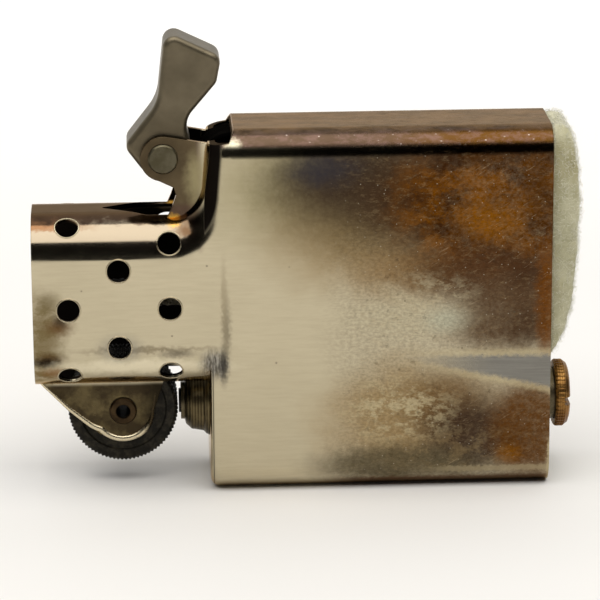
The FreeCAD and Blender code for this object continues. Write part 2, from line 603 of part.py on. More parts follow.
def felt_pieces():
    """The felt pad at the bottom end: the part held by the flint tube, and the flap that lifts."""
    split, inner = "Sizes.felt_split", f"{END} - Sizes.felt_depth"
    low, flush = "Sizes.sheet + Sizes.felt_gap", f"{END} - 0.3"
    ceiling = "Sizes.body_width - Sizes.sheet - Sizes.felt_gap"
    wide = "Sizes.body_thickness"
    anchor = padded("felt_anchor_blank",
                    [(inner, low), (flush, low), (flush, f"{split} - Sizes.felt_gap"),
                     (inner, f"{split} - Sizes.felt_gap")], wide)
    hole = primitive("Cylinder", "felt_tube_hole", AXIS_X, Radius="Sizes.tube_foot + 0.05", Height="8",
                     x=f"{END} - 5", z="Sizes.wheel_z")
    anchor_piece = cut("felt_anchor", shared("felt_anchor_trimmed", anchor, felt_form("felt_anchor")), hole)

    bulge = [(f"{END} + {share} * Sizes.felt_proud", f"{split} + {up}") for share, up in FELT_BULGE]
    flap = padded("felt_flap_blank", [(inner, split), *bulge, (f"{END} + 0.1", ceiling),
                                      (inner, f"{ceiling} - 0.4")], wide)
    return anchor_piece, shared("felt_flap", flap, felt_flap_form())


def felt_flap_form():
    """The flap's rounded bar, with its top corners rounded about where the shell's own are."""
    spare = "(Sizes.sheet + Sizes.felt_gap)"
    crown = "Sizes.body_width - 0.2"
    bar = box("felt_flap_bar", (f"{END} - Sizes.felt_depth", f"{END} + Sizes.felt_proud + 1"),
              (f"-({HALF}) + {spare}", f"{HALF} - {spare}"), ("Sizes.felt_split - 1", crown))
    doc.recompute()
    top = number(crown) - 1e-3
    radius = number("Sizes.felt_corner + 0.35")
    rounded_bar = doc.addObject("Part::Fillet", "felt_flap_form")
    rounded_bar.Base = bar
    rounded_bar.Edges = [(n, radius, radius) for n, edge in enumerate(bar.Shape.Edges, 1)
                         if edge.BoundBox.ZMin > top and edge.BoundBox.YLength < 1e-6]
    return rounded_bar


# ---- build, check and write ----

def build():
    """Every piece, by the name of its node."""
    cam = cam_lever()
    screw = flint_screw()
    anchor, flap = felt_pieces()
    pieces = {
        "insert_shell": insert_shell(), "deck_plate": deck_plate(), "wick_eyelet": wick_eyelet(),
        "wick_braid": wick_braid(), "wick_core_wire": wick_core(), "flint_tube": flint_tube(),
        "tube_ferrule": tube_ferrule(), "flint": flint(), "flint_nib": flint_nib(),
        "flint_spring": flint_spring(), "flint_screw": screw, "spark_wheel": spark_wheel(),
        "wheel_rivet": rivet("wheel_rivet", "Sizes.wheel_x", "Sizes.wheel_z", "Sizes.rivet_radius",
                             "Sizes.rivet_head", "Sizes.rivet_bore"),
        "cam_lever": cam,
        "cam_rivet": rivet("cam_rivet", "Sizes.cam_x", "Sizes.cam_z", "Sizes.pin_radius", "Sizes.pin_head"),
        "cam_spring": cam_spring(), "felt_anchor": anchor, "felt_flap": flap,
    }
    for ball in packing_balls():
        pieces[ball.Name] = ball
    return pieces


def write(pieces):
    """Stops on anything failed or not a whole solid, then writes one file for each node."""
    doc.recompute()
    failed = [thing.Name for thing in doc.Objects if {"Invalid", "Error"} & set(thing.State)]
    if failed:
        raise SystemExit(f"failed objects: {failed}")
    os.makedirs("parts", exist_ok=True)
    for node, thing in pieces.items():
        shape = thing.Shape
        if shape.isNull() or not shape.isValid() or not shape.Solids:
            raise SystemExit(f"{node} is not a valid solid")
        thing.Label = node
        shape.exportStep(f"parts/{node}.step")
        bounds = shape.BoundBox
        print(f"{node:16s} solids {len(shape.Solids)} volume {shape.Volume:9.2f}  "
              f"x {bounds.XMin:7.2f} {bounds.XMax:7.2f}  y {bounds.YMin:6.2f} {bounds.YMax:6.2f}  "
              f"z {bounds.ZMin:6.2f} {bounds.ZMax:6.2f}")


write(build())
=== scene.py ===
import math
import random

import bpy
from mathutils import Matrix, Vector, noise


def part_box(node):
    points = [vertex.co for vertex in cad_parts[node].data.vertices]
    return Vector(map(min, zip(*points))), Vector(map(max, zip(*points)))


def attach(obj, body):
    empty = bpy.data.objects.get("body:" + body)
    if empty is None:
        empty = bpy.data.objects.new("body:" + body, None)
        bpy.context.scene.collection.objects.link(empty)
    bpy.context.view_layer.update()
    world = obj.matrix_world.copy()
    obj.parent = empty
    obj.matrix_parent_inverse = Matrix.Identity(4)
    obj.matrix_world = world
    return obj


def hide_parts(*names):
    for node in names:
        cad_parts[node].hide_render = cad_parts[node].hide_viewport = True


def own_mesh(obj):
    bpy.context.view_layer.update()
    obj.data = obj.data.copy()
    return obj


# The looks of a petrol lighter's inside unit, lying on its narrow wheel side.
# Sizes are in millimetres until they reach a mesh: MM turns them into metres.

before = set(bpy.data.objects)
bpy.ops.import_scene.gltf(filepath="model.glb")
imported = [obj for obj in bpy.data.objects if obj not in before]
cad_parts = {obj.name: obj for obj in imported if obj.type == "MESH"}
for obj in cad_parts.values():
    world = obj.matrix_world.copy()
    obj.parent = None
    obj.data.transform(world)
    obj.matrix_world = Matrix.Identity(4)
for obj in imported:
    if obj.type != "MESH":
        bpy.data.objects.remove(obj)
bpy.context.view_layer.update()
MM = 0.001
scene = bpy.context.scene


def box_mm(node):
    """A CAD node's lowest and highest corners in millimetres."""
    low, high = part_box(node)
    return low / MM, high / MM


SHELL_HIGH = box_mm("insert_shell")[1]
FACE_Y = SHELL_HIGH.y
END_X = SHELL_HIGH.x
# the chimney's and the body's rounded sections: centre height, half height and corner radius
CHIMNEY_Z, CHIMNEY_HALF_Z, CHIMNEY_CORNER = 19.0, 8.6, 4.2
BODY_Z, BODY_HALF_Z, BODY_CORNER = 18.0, 18.0, 2.5


def centre_mm(node):
    """The middle of a CAD node's box in millimetres."""
    low, high = box_mm(node)
    return (low + high) / 2


WHEEL = centre_mm("spark_wheel")
CAM_PIN = centre_mm("cam_rivet")
SCREW = centre_mm("flint_screw")
WICK = centre_mm("wick_braid")


# ---- node materials ----

class Paint:
    """One material's node tree. Each method adds nodes and returns the output that follows them."""

    def __init__(self, name, **settings):
        self.material = bpy.data.materials.new(name)
        self.material.use_nodes = True
        self.tree = self.material.node_tree
        self.shader = self.tree.nodes["Principled BSDF"]
        for socket, value in settings.items():
            self.shader.inputs[socket.replace("_", " ")].default_value = value
        coordinates = self.tree.nodes.new("ShaderNodeTexCoord")
        self.place = self.vector("SCALE", coordinates.outputs["Object"], scale=1 / MM)

    def feed(self, socket, value):
        """Puts a number, a colour, a vector or another node's output into a socket."""
        if isinstance(value, bpy.types.NodeSocket):
            self.tree.links.new(value, socket)
        elif value is not None:
            socket.default_value = value

    def maths(self, operation, a, b=None, c=None, clamp=False):
        """One sum on numbers."""
        node = self.tree.nodes.new("ShaderNodeMath")
        node.operation = operation
        node.use_clamp = clamp
        for socket, value in zip(node.inputs, (a, b, c)):
            self.feed(socket, value)
        return node.outputs[0]

    def vector(self, operation, a, b=None, scale=None):
        """One sum on vectors; LENGTH gives a number."""
        node = self.tree.nodes.new("ShaderNodeVectorMath")
        node.operation = operation
        self.feed(node.inputs[0], a)
        self.feed(node.inputs[1], b)
        if scale is not None:
            self.feed(node.inputs["Scale"], scale)
        return node.outputs["Value" if operation == "LENGTH" else "Vector"]

    def noise(self, scale, detail=3.0, rough=0.55, stretch=None, where=None, colour=False):
        """Noise with this many features to the millimetre."""
        node = self.tree.nodes.new("ShaderNodeTexNoise")
        source = where or self.place
        if stretch:
            source = self.vector("MULTIPLY", source, stretch)
        self.feed(node.inputs["Vector"], source)
        node.inputs["Scale"].default_value = scale
        node.inputs["Detail"].default_value = detail
        node.inputs["Roughness"].default_value = rough
        return node.outputs["Color" if colour else "Fac"]

    def cells(self, scale, stretch=None):
        """Distance to the nearest of scattered points, with this many points to the millimetre."""
        node = self.tree.nodes.new("ShaderNodeTexVoronoi")
        source = self.vector("MULTIPLY", self.place, stretch) if stretch else self.place
        self.feed(node.inputs["Vector"], source)
        node.inputs["Scale"].default_value = scale
        return node.outputs["Distance"]

    def wave(self, scale, distortion):
        """Bands across X, as a lathe tool leaves them."""
        node = self.tree.nodes.new("ShaderNodeTexWave")
        node.bands_direction = "X"
        self.feed(node.inputs["Vector"], self.place)
        node.inputs["Scale"].default_value = scale
        node.inputs["Distortion"].default_value = distortion
        node.inputs["Detail"].default_value = 2.0
        return node.outputs["Fac"]

    def step(self, value, low, high):
        """0 below low, 1 above high, smooth between them; low may be the larger."""
        node = self.tree.nodes.new("ShaderNodeMapRange")
        node.interpolation_type = "SMOOTHSTEP"
        self.feed(node.inputs["Value"], value)
        node.inputs["From Min"].default_value = min(low, high)
        node.inputs["From Max"].default_value = max(low, high)
        node.inputs["To Min"].default_value = 0.0 if low < high else 1.0
        node.inputs["To Max"].default_value = 1.0 if low < high else 0.0
        return node.outputs["Result"]

    def mix(self, share, a, b):
        """From a at share 0 to b at share 1; each is display red, green and blue, or another output."""
        node = self.tree.nodes.new("ShaderNodeMix")
        node.data_type = "RGBA"
        self.feed(node.inputs["Factor"], share)
        self.feed(node.inputs["A"], colour(a) if isinstance(a, tuple) else a)
        self.feed(node.inputs["B"], colour(b) if isinstance(b, tuple) else b)
        return node.outputs["Result"]

    def axis(self, name, where=None):
        """One coordinate, in millimetres."""
        node = self.tree.nodes.new("ShaderNodeSeparateXYZ")
        self.feed(node.inputs[0], where or self.place)
        return node.outputs[name]

    def warped(self, scale, reach):
        """The place, pushed about by noise by up to reach millimetres."""
        push = self.vector("SUBTRACT", self.noise(scale, 4.0, 0.6, colour=True), (0.5, 0.5, 0.5))
        return self.vector("ADD", self.place, self.vector("SCALE", push, scale=2 * reach))

    def blob(self, centre, size, where, soft=0.5):
        """An oval patch on the broad face: 1 inside, fading to 0 round the oval that size gives."""
        x, z = centre
        shifted = self.vector("SUBTRACT", where, (x, 0.0, z))
        scaled = self.vector("MULTIPLY", shifted, (1 / size[0], 0.0, 1 / size[1]))
        return self.step(self.vector("LENGTH", scaled), 1.0 + soft * 0.4, 1.0 - soft)

    def bump(self, height, strength, distance):
        """Adds to the shader's bump, in millimetres of height."""
        node = self.tree.nodes.new("ShaderNodeBump")
        node.inputs["Strength"].default_value = strength
        node.inputs["Distance"].default_value = distance * MM
        self.feed(node.inputs["Height"], height)
        normal = self.shader.inputs["Normal"]
        if normal.is_linked:
            self.feed(node.inputs["Normal"], normal.links[0].from_socket)
        self.tree.links.new(node.outputs["Normal"], normal)

    def soft_edges(self, radius):
        """Rounds the look of sharp edges by this many millimetres."""
        node = self.tree.nodes.new("ShaderNodeBevel")
        node.samples = 4
        node.inputs["Radius"].default_value = radius * MM
        self.tree.links.new(node.outputs["Normal"], self.shader.inputs["Normal"])

    def set(self, **sockets):
        """Joins outputs to the shader's sockets, named with _ for a space."""
        for name, value in sockets.items():
            self.feed(self.shader.inputs[name.replace("_", " ")], value)


def colour(rgb):
    """Display red, green and blue, 0 to 255, as the linear colour that a shader takes."""
    linear = [c / 255 / 12.92 if c <= 10 else ((c / 255 + 0.055) / 1.055) ** 2.4 for c in rgb]
    return (*linear, 1.0)


def rounded_section(p, centre_z, half_z, corner):
    """Distance outside a rounded rectangle in the YZ plane, in millimetres; below zero is inside."""
    across = p.maths("SUBTRACT", p.maths("ABSOLUTE", p.axis("Y")), FACE_Y - corner)
    height = p.maths("ABSOLUTE", p.maths("SUBTRACT", p.axis("Z"), centre_z))
    up = p.maths("SUBTRACT", height, half_z - corner)
    join = p.tree.nodes.new("ShaderNodeCombineXYZ")
    p.feed(join.inputs["X"], p.maths("MAXIMUM", across, 0.0))
    p.feed(join.inputs["Y"], p.maths("MAXIMUM", up, 0.0))
    outside = p.vector("LENGTH", join.outputs[0])
    inside = p.maths("MINIMUM", p.maths("MAXIMUM", across, up), 0.0)
    return p.maths("SUBTRACT", p.maths("ADD", outside, inside), corner)


class ShellPaint(Paint):
    """The shell's paint: one tone that layers are laid over, and places that noise has pushed about."""

    def __init__(self):
        super().__init__("shell_stained_steel", Metallic=1.0)
        self.far = self.warped(0.22, 2.2)
        self.near = self.warped(0.9, 0.9)
        self.fine = self.warped(3.0, 0.4)
        self.x, self.y, self.z = self.axis("X"), self.axis("Y"), self.axis("Z")
        far_side = self.step(self.y, -1.0, 1.0)
        self.drift = self.vector("SCALE", (-2.6, 0.0, 1.8), scale=far_side)
        self.tone = self.mix(self.noise(0.12, 2.0), (184, 173, 146), (198, 187, 160))

    def both(self, a, b):
        """Where both masks hold."""
        return self.maths("MULTIPLY", a, b)

    def lay(self, rgb, mask, share=1.0):
        """Lays a colour over the tone where the mask holds."""
        self.tone = self.mix(self.maths("MULTIPLY", mask, share, clamp=True), self.tone, rgb)

    def patches(self, rows, texture=None):
        """Oval patches: colour, centre, size, place, softness, share.

        Those with a texture lie elsewhere on the far face.
        """
        for rgb, centre, size, where, soft, share in rows:
            if texture:
                moved = self.vector("ADD", where, self.drift)
                mask = self.both(self.blob(centre, size, moved, soft), texture)
            else:
                mask = self.blob(centre, size, where, soft)
            self.lay(rgb, mask, share)


def body_stain(p):
    """Hazes, burnt and oiled stains over them, and fine marks. Gives where it is stained and worn."""
    grain = p.maths("MULTIPLY_ADD", p.step(p.noise(2.0, 5.0, 0.75), 0.30, 0.66), 0.14, 0.86)
    # hazes
    p.patches([
        ((138, 130, 94), (-1.6, 30.6), (8.6, 6.4), p.far, 0.9, 0.8),
        ((140, 118, 80), (5.0, 25.6), (9.5, 5.8), p.far, 0.9, 0.9),
        ((132, 102, 62), (11.0, 22.2), (7.4, 3.4), p.far, 0.8, 0.85),
        ((142, 112, 62), (10.0, 7.2), (9.5, 6.4), p.far, 0.7, 0.78),
        ((90, 76, 52), (4.6, 29.5), (9.0, 6.0), p.near, 0.8, 0.9),
    ], grain)
    # burnt and oiled stains
    clouds = p.noise(0.34, 5.0, 0.7, stretch=(0.8, 1.0, 1.3), where=p.near)
    amber = p.mix(p.step(clouds, 0.36, 0.66), (56, 28, 3), (112, 65, 1))
    p.patches([
        ((56, 44, 34), (5.2, 31.6), (9.8, 4.6), p.near, 0.7, 0.97),
        ((50, 49, 55), (1.6, 32.4), (4.2, 2.0), p.near, 0.8, 0.75),
        ((64, 46, 30), (9.5, 28.8), (5.8, 5.0), p.near, 0.7, 0.9),
        (amber, (18.6, 29.0), (11.0, 9.4), p.near, 0.4, 1.0),
        ((50, 30, 14), (15.0, 33.8), (10.0, 1.5), p.near, 0.8, 0.8),
        ((132, 80, 3), (17.6, 27.0), (3.4, 2.6), p.near, 0.9, 0.7),
        ((68, 38, 6), (22.4, 30.0), (1.9, 4.4), p.near, 0.8, 0.7),
        ((74, 48, 28), (17.2, 21.8), (8.6, 3.6), p.near, 0.7, 0.9),
        ((60, 36, 18), (21.6, 20.4), (2.6, 3.4), p.near, 0.7, 0.85),
        ((84, 62, 42), (19.0, 17.4), (6.8, 4.2), p.near, 0.6, 0.96),
        ((66, 46, 30), (21.5, 16.4), (3.0, 2.4), p.near, 0.8, 0.7),
        ((92, 62, 28), (14.0, 8.6), (5.4, 3.8), p.near, 0.8, 0.8),
        ((58, 42, 32), (16.2, 5.2), (5.8, 4.4), p.near, 0.6, 0.97),
        ((90, 52, 6), (21.8, 6.0), (4.4, 6.0), p.near, 0.5, 0.97),
        ((128, 78, 8), (19.8, 3.4), (1.5, 1.1), p.fine, 0.8, 0.75),
        ((84, 76, 56), (8.6, 2.6), (9.0, 2.2), p.near, 0.6, 0.9),
    ], grain)
    # mottled places that stayed pale, and the orange line down the open edge
    p.patches([
        ((186, 176, 148), (9.6, 17.6), (6.6, 2.4), p.near, 0.9, 0.9),
        ((182, 182, 160), (13.4, 17.2), (2.4, 1.5), p.fine, 0.9, 0.7),
        ((104, 58, 5), (23.4, 19.0), (1.3, 7.0), p.near, 0.6, 0.9),
    ], grain)
    spared = p.step(p.noise(0.62, 5.0, 0.72, stretch=(0.8, 1.0, 1.3)), 0.47, 0.60)
    p.patches([
        ((188, 174, 138), (8.6, 8.0), (6.4, 3.6), p.near, 0.7, 0.85),
        ((182, 170, 140), (11.0, 19.8), (6.0, 2.2), p.near, 0.8, 0.6),
        ((150, 128, 90), (14.0, 4.0), (8.0, 2.4), p.near, 0.8, 0.35),
    ], spared)
    weave = p.step(p.noise(5.0, 4.0, 0.7, stretch=(0.5, 1.0, 0.8)), 0.36, 0.64)
    woven = p.both(p.step(p.axis("X", p.far), 0.0, 6.0), p.maths("MULTIPLY", weave, 0.30))
    p.lay((44, 32, 22), woven)
    # fine marks all over the stain: blots, light specks and slanting scratches
    stained = p.step(p.axis("X", p.far), 1.0, 7.0)
    burnt = p.step(p.axis("X", p.far), 8.0, 13.0)
    blots = p.step(p.noise(1.1, 5.0, 0.72), 0.58, 0.70)
    p.lay((52, 38, 26), p.both(blots, stained), 0.4)
    wear = p.both(p.step(p.noise(2.4, 5.0, 0.75, stretch=(0.6, 1.0, 1.6)), 0.50, 0.70), stained)
    p.lay((160, 138, 102), wear, 0.22)
    scratch_lean = 32
    turned = p.tree.nodes.new("ShaderNodeVectorRotate")
    turned.rotation_type = "Y_AXIS"
    turned.inputs["Angle"].default_value = math.radians(scratch_lean)
    p.feed(turned.inputs["Vector"], p.place)
    hair = p.noise(1.6, 4.0, 0.7, stretch=(0.35, 1.0, 4.0), where=turned.outputs["Vector"])
    scratches = p.both(p.step(hair, 0.60, 0.70), burnt)
    p.lay((190, 172, 140), scratches, 0.28)
    specks = p.both(p.step(p.cells(1.5), 0.10, 0.04), stained)
    p.lay((206, 198, 178), specks, 0.45)
    dirt = p.step(p.cells(0.42), 0.055, 0.03)
    p.lay((84, 76, 60), dirt, 0.6)
    return stained, wear


def rubbed_streak(p):
    """The grey streak rubbed bright beside the screw, widening to the bottom end. Gives its mask."""
    along = p.step(p.x, 7.5, 19.0)
    middle = p.maths("MULTIPLY_ADD", p.x, -0.115, 14.55)
    off = p.maths("ABSOLUTE", p.maths("SUBTRACT", p.axis("Z", p.fine), middle))
    past = p.maths("SUBTRACT", off, p.maths("MULTIPLY_ADD", p.x, 0.105, -0.85))
    inside = p.both(p.step(past, 0.3, -0.35), along)
    p.lay((186, 172, 136), p.both(p.step(past, 1.0, 0.2), along), 0.55)
    rubbed = p.mix(p.noise(1.2, 5.0, 0.75, stretch=(0.15, 1.0, 6.0)), (92, 90, 86), (150, 148, 142))
    p.lay(rubbed, inside, 0.95)
    return inside


def edge_shade_reflection_and_wear(p):
    """Painted shade along the bottom, a painted reflection strip over it, and the pale rubbed open
    edge.
    """
    painted_reflection_z = 1.9
    # painted shade: a dark line along the bottom rounding, beside the floor
    low = p.both(p.step(p.axis("Z", p.fine), 1.4, 0.8), p.step(p.x, 0.0, 6.0))
    # painted reflection: a pale strip along the lower rounding, just above the painted shade
    off = p.maths("ABSOLUTE", p.maths("SUBTRACT", p.axis("Z", p.fine), painted_reflection_z))
    painted_reflection_strip = p.both(p.step(off, 0.45, 0.15), p.step(p.x, 9.0, 16.0))
    p.lay((92, 60, 40), low, 0.8)
    p.lay((166, 152, 120), painted_reflection_strip, 0.6)
    open_edge = p.both(p.step(p.axis("X", p.fine), 23.4, 23.75), p.step(p.z, 5.5, 4.0))
    p.lay((184, 170, 136), open_edge, 0.8)


def browned_top_with_glints(p):
    """The top rounding and narrow side: heat-browned, amber towards the bottom end, with painted glints
    on the crest. Gives its mask.
    """
    before = p.step(p.x, -8.6, -8.0)
    crest = p.both(p.step(p.z, 34.3, 34.7), before)
    heat = p.mix(p.step(p.axis("X", p.near), 4.0, 17.0), (78, 61, 48), (84, 56, 22))
    mottled = p.step(p.noise(1.3, 5.0, 0.75, stretch=(0.5, 1.0, 1.0)), 0.42, 0.66)
    heat = p.mix(p.maths("MULTIPLY", mottled, 0.5), heat, (112, 88, 82))
    p.lay(heat, crest, 0.97)
    # painted highlights: pale glinting specks on the crest
    painted_glints = p.both(p.both(p.step(p.cells(2.4, stretch=(0.7, 1.0, 1.0)), 0.22, 0.08), mottled), crest)
    p.lay((206, 192, 182), painted_glints, 0.6)
    flat_top = p.both(p.step(p.z, 35.6, 35.9), before)
    ridged = p.noise(0.5, 5.0, 0.7, stretch=(0.4, 1.2, 1.0), where=p.near)
    oiled = p.mix(p.step(ridged, 0.36, 0.64), (66, 54, 44), (114, 92, 70))
    oiled = p.mix(p.maths("MULTIPLY", mottled, 0.35), oiled, (122, 108, 102))
    p.lay(oiled, flat_top, 0.97)
    return crest


def chimney_soot_and_painted_light(p):
    """Soot, oil and heat on the chimney, with a painted reflection, painted glints and painted shade
    down the crease.
    """
    chimney = p.step(p.x, -9.6, -10.6)
    # a duller tone over the chimney's upper rounding, which dims the reflection there
    dulled_upper_rounding = p.both(chimney, p.step(p.axis("Z", p.near), 24.2, 25.0))
    p.lay((146, 133, 114), dulled_upper_rounding, 0.92)
    charred = p.step(p.axis("X", p.near), -19.0, -25.0)
    fringe = p.both(p.both(chimney, p.step(p.axis("Z", p.fine), 26.3, 26.7)), charred)
    p.lay((120, 74, 34), fringe, 0.75)
    soot = p.both(chimney, p.step(p.axis("Z", p.near), 26.7, 27.3))
    p.lay(p.mix(p.noise(0.8, 3.0), (56, 42, 34), (92, 72, 58)), soot, 0.95)
    fan = p.step(p.noise(0.9, 5.0, 0.7, stretch=(0.6, 1.0, 1.5), where=p.fine), 0.38, 0.62)
    mouth = p.both(p.step(p.axis("X", p.near), -22.6, -25.6), p.step(p.axis("Z", p.near), 22.5, 17.5))
    p.lay((118, 106, 70), p.both(mouth, fan), 0.9)
    p.patches([
        ((112, 97, 66), (-25.4, 15.8), (2.1, 4.6), p.near, 0.8, 0.85),
        ((92, 64, 32), (-23.9, 17.2), (1.5, 1.0), p.fine, 0.9, 0.85),
        ((46, 34, 22), (-23.7, 17.9), (0.9, 0.8), p.fine, 0.9, 0.8),
        ((76, 54, 28), (-24.9, 14.0), (1.7, 0.7), p.fine, 0.9, 0.8),
        ((96, 82, 50), (-24.9, 19.6), (1.3, 1.2), p.fine, 0.9, 0.6),
        ((36, 28, 18), (-25.3, 13.6), (1.6, 0.6), p.fine, 0.8, 0.95),
        ((120, 108, 84), (-15.5, 14.75), (7.5, 0.35), p.near, 0.9, 0.7),
        # painted reflection: a cream band along the chimney's lower rounding, where the floor would
        # mirror
        ((228, 218, 190), (-16.0, 13.0), (9.0, 0.9), p.near, 0.8, 0.8),
        ((120, 84, 44), (-24.4, 12.4), (1.8, 0.7), p.fine, 0.9, 0.8),
        ((112, 104, 88), (-12.6, 14.3), (1.9, 0.5), p.fine, 0.9, 0.8),
        ((108, 108, 106), (-18.1, 14.9), (2.2, 1.5), p.fine, 0.9, 0.6),
        ((86, 58, 32), (-11.4, 26.3), (1.5, 1.1), p.near, 0.9, 0.85),
        # painted highlights: a golden glint at the foot of the cam ear, and a pale one at the body's
        # top corner
        ((206, 156, 58), (-12.7, 27.1), (0.7, 0.6), p.fine, 0.8, 0.85),
        ((206, 198, 172), (-7.0, 34.8), (0.9, 0.7), p.fine, 0.9, 0.85),
        # painted shade down the crease between chimney and body
        ((112, 102, 82), (-7.8, 16.4), (0.5, 4.2), p.fine, 0.9, 0.7),
        ((152, 140, 114), (-8.0, 20.0), (0.3, 4.0), p.fine, 0.9, 0.6),
    ])


def worn_dent(p):
    """The worn grey dent at the corner of chimney and shoulder. Gives its scratches."""
    worn = p.blob((-9.0, 13.1), (1.5, 1.7), p.fine, 0.7)
    scratch = p.step(p.noise(2.4, 4.0, 0.7, stretch=(2.2, 1.0, 0.4)), 0.40, 0.62)
    p.lay(p.mix(scratch, (64, 61, 58), (150, 146, 138)), worn, 0.9)
    p.lay((44, 42, 40), p.blob((-8.1, 12.9), (0.5, 2.0), p.fine, 0.8), 0.85)
    return p.both(scratch, worn)


def ears_oil_shade_and_highlight(p):
    """Ears: oily olive below the chimney, brown above it, with painted shade round the cam rivet and a
    painted highlight on the cam ear. Gives where the lower ones are.
    """
    ear_low = p.both(p.step(p.z, 10.9, 10.3), p.step(p.x, -9.9, -10.1))
    swirl = p.noise(0.4, 3.0, 0.5, where=p.near)
    olive = p.mix(p.step(swirl, 0.40, 0.72), (44, 34, 19), (94, 82, 54))
    p.lay(olive, ear_low, 0.97)
    # darker towards the body's shoulder
    p.lay((26, 22, 16), p.both(ear_low, p.step(p.axis("X", p.near), -17.0, -14.4)), 0.9)
    ear_high = p.both(p.step(p.z, 28.2, 28.9), p.step(p.x, -10.3, -10.6))
    p.lay(p.mix(p.noise(0.6, 3.0), (72, 60, 44), (100, 88, 66)), ear_high, 0.95)
    # painted shade round the cam rivet
    p.lay((50, 42, 30), p.blob((CAM_PIN.x, CAM_PIN.z), (2.5, 2.5), p.near, 0.6), 0.6)
    # painted highlight on the cam ear's side towards the body
    p.lay((146, 136, 102), p.blob((-10.4, 31.0), (1.2, 3.0), p.near, 0.9), 0.85)
    return ear_low


def dull_inside(p):
    """The inside: soot in the chimney, painted shade between the ears, dull tin round the fuel. Gives
    its mask.
    """
    # how far under the outer surface the inside's tone begins, and where it is full
    begins, full = -0.12, -0.3
    chimney = rounded_section(p, CHIMNEY_Z, CHIMNEY_HALF_Z, CHIMNEY_CORNER)
    tube = p.both(p.step(chimney, begins, full), p.step(p.x, -8.9, -9.3))
    # the shoulder's X at each height
    front = p.maths("MULTIPLY_ADD", p.step(p.z, 20.0, 27.0), -0.62, -9.17)
    front = p.maths("MULTIPLY_ADD", p.step(p.z, 27.6, 36.0), 0.7, front)
    behind_front = p.step(p.maths("SUBTRACT", p.x, front), -0.03, 0.03)
    body = rounded_section(p, BODY_Z, BODY_HALF_Z, BODY_CORNER)
    body = p.both(p.step(body, begins, full), behind_front)
    # painted shade: the ears' inner faces take the chimney's dark inside tone
    shade_between_ears = p.both(p.both(p.step(p.maths("ABSOLUTE", p.y), 2.62, 2.54), p.step(p.x, -9.7, -9.9)),
                          p.maths("ADD", p.step(p.z, 10.5, 10.3), p.step(p.z, 27.5, 27.7)))
    hidden = p.maths("MAXIMUM", tube, p.maths("MAXIMUM", body, shade_between_ears), clamp=True)
    tin = p.mix(p.noise(0.5, 4.0, 0.6), (66, 60, 48), (98, 90, 72))
    p.lay(p.mix(p.step(p.x, -5.0, -3.5), (26, 22, 19), tin), hidden)
    return hidden


def stained_shell():
    """Satin plated steel: clean at the chimney, burnt and oiled amber towards the bottom end."""
    p = ShellPaint()
    brush = p.noise(1.5, 5.0, 0.72, stretch=(0.22, 1.0, 3.2))
    p.lay((152, 142, 118), p.step(brush, 0.35, 0.7), 0.18)
    stained, wear = body_stain(p)
    streak = rubbed_streak(p)
    edge_shade_reflection_and_wear(p)
    crest = browned_top_with_glints(p)
    chimney_soot_and_painted_light(p)
    dent = worn_dent(p)
    ear_low = ears_oil_shade_and_highlight(p)
    hidden = dull_inside(p)
    p.set(Base_Color=p.tone)
    # a warm tint where the metal is seen at a grazing angle
    p.shader.inputs["Specular Tint"].default_value = (1.0, 0.82, 0.64, 1.0)
    rough = p.maths("MULTIPLY_ADD", p.noise(0.7, 3.0), 0.08, 0.10)
    for mask, more in ((wear, 0.12), (streak, 0.16), (hidden, 0.45), (ear_low, 0.12), (crest, 0.12)):
        rough = p.maths("MULTIPLY_ADD", mask, more, rough)
    p.set(Roughness=rough)
    p.soft_edges(0.12)
    p.bump(p.noise(0.16, 2.0), 0.15, 0.10)
    p.bump(p.both(brush, stained), 0.25, 0.01)
    p.bump(dent, 0.4, 0.03)
    return p.material


def plain_metal(name, dark, light, rough, metallic=1.0, rings=None, hollow=None):
    """A dull metal: two tones in soft patches and fine grain; rings gives the turned bands to the
    millimetre, with painted highlights along them, and hollow the (centre, radius) of a bore whose dark
    inside is painted shade."""
    p = Paint(name, Metallic=metallic)
    patches = p.step(p.noise(0.6, 4.0, 0.6), 0.35, 0.65)
    tone = p.mix(patches, dark, light)
    if rings:
        # painted highlights along the turned bands
        tone = p.mix(p.maths("MULTIPLY", p.wave(rings, 0.3), 0.35), tone, (150, 136, 100))
    if hollow:
        centre, radius = hollow
        # painted shade: a black, unlit disc stands for the dark inside of the bore
        core = p.blob((centre.x, centre.z), (radius, radius), p.place, 0.15)
        tone = p.mix(core, tone, (10, 8, 6))
        p.set(Metallic=p.maths("SUBTRACT", 1.0, core))
        p.shader.inputs["Specular IOR Level"].default_value = 0.0
    p.set(Base_Color=tone)
    p.set(Roughness=p.maths("MULTIPLY_ADD", p.noise(1.5, 3.0), 0.2, rough - 0.1))
    p.soft_edges(0.08)
    p.bump(p.noise(2.0, 4.0, 0.7), 0.3, 0.012)
    if rings:
        p.bump(p.wave(rings, 0.3), 0.4, 0.03)
    return p.material


def cam_metal():
    """Bead-blasted lever steel with a darker, oily hub."""
    p = Paint("cam_matte_steel", Metallic=0.9)
    tone = p.mix(p.step(p.noise(0.35, 3.0), 0.3, 0.7), (104, 95, 77), (120, 110, 90))
    hub = p.blob((CAM_PIN.x, CAM_PIN.z), (4.6, 4.6), p.warped(0.6, 0.5), 0.6)
    tone = p.mix(p.maths("MULTIPLY", hub, 0.45), tone, (86, 76, 58))
    p.set(Base_Color=tone, Roughness=p.maths("MULTIPLY_ADD", p.noise(2.0, 3.0), 0.14, 0.36))
    p.soft_edges(0.15)
    p.bump(p.noise(4.5, 3.0, 0.6), 0.3, 0.02)
    return p.material


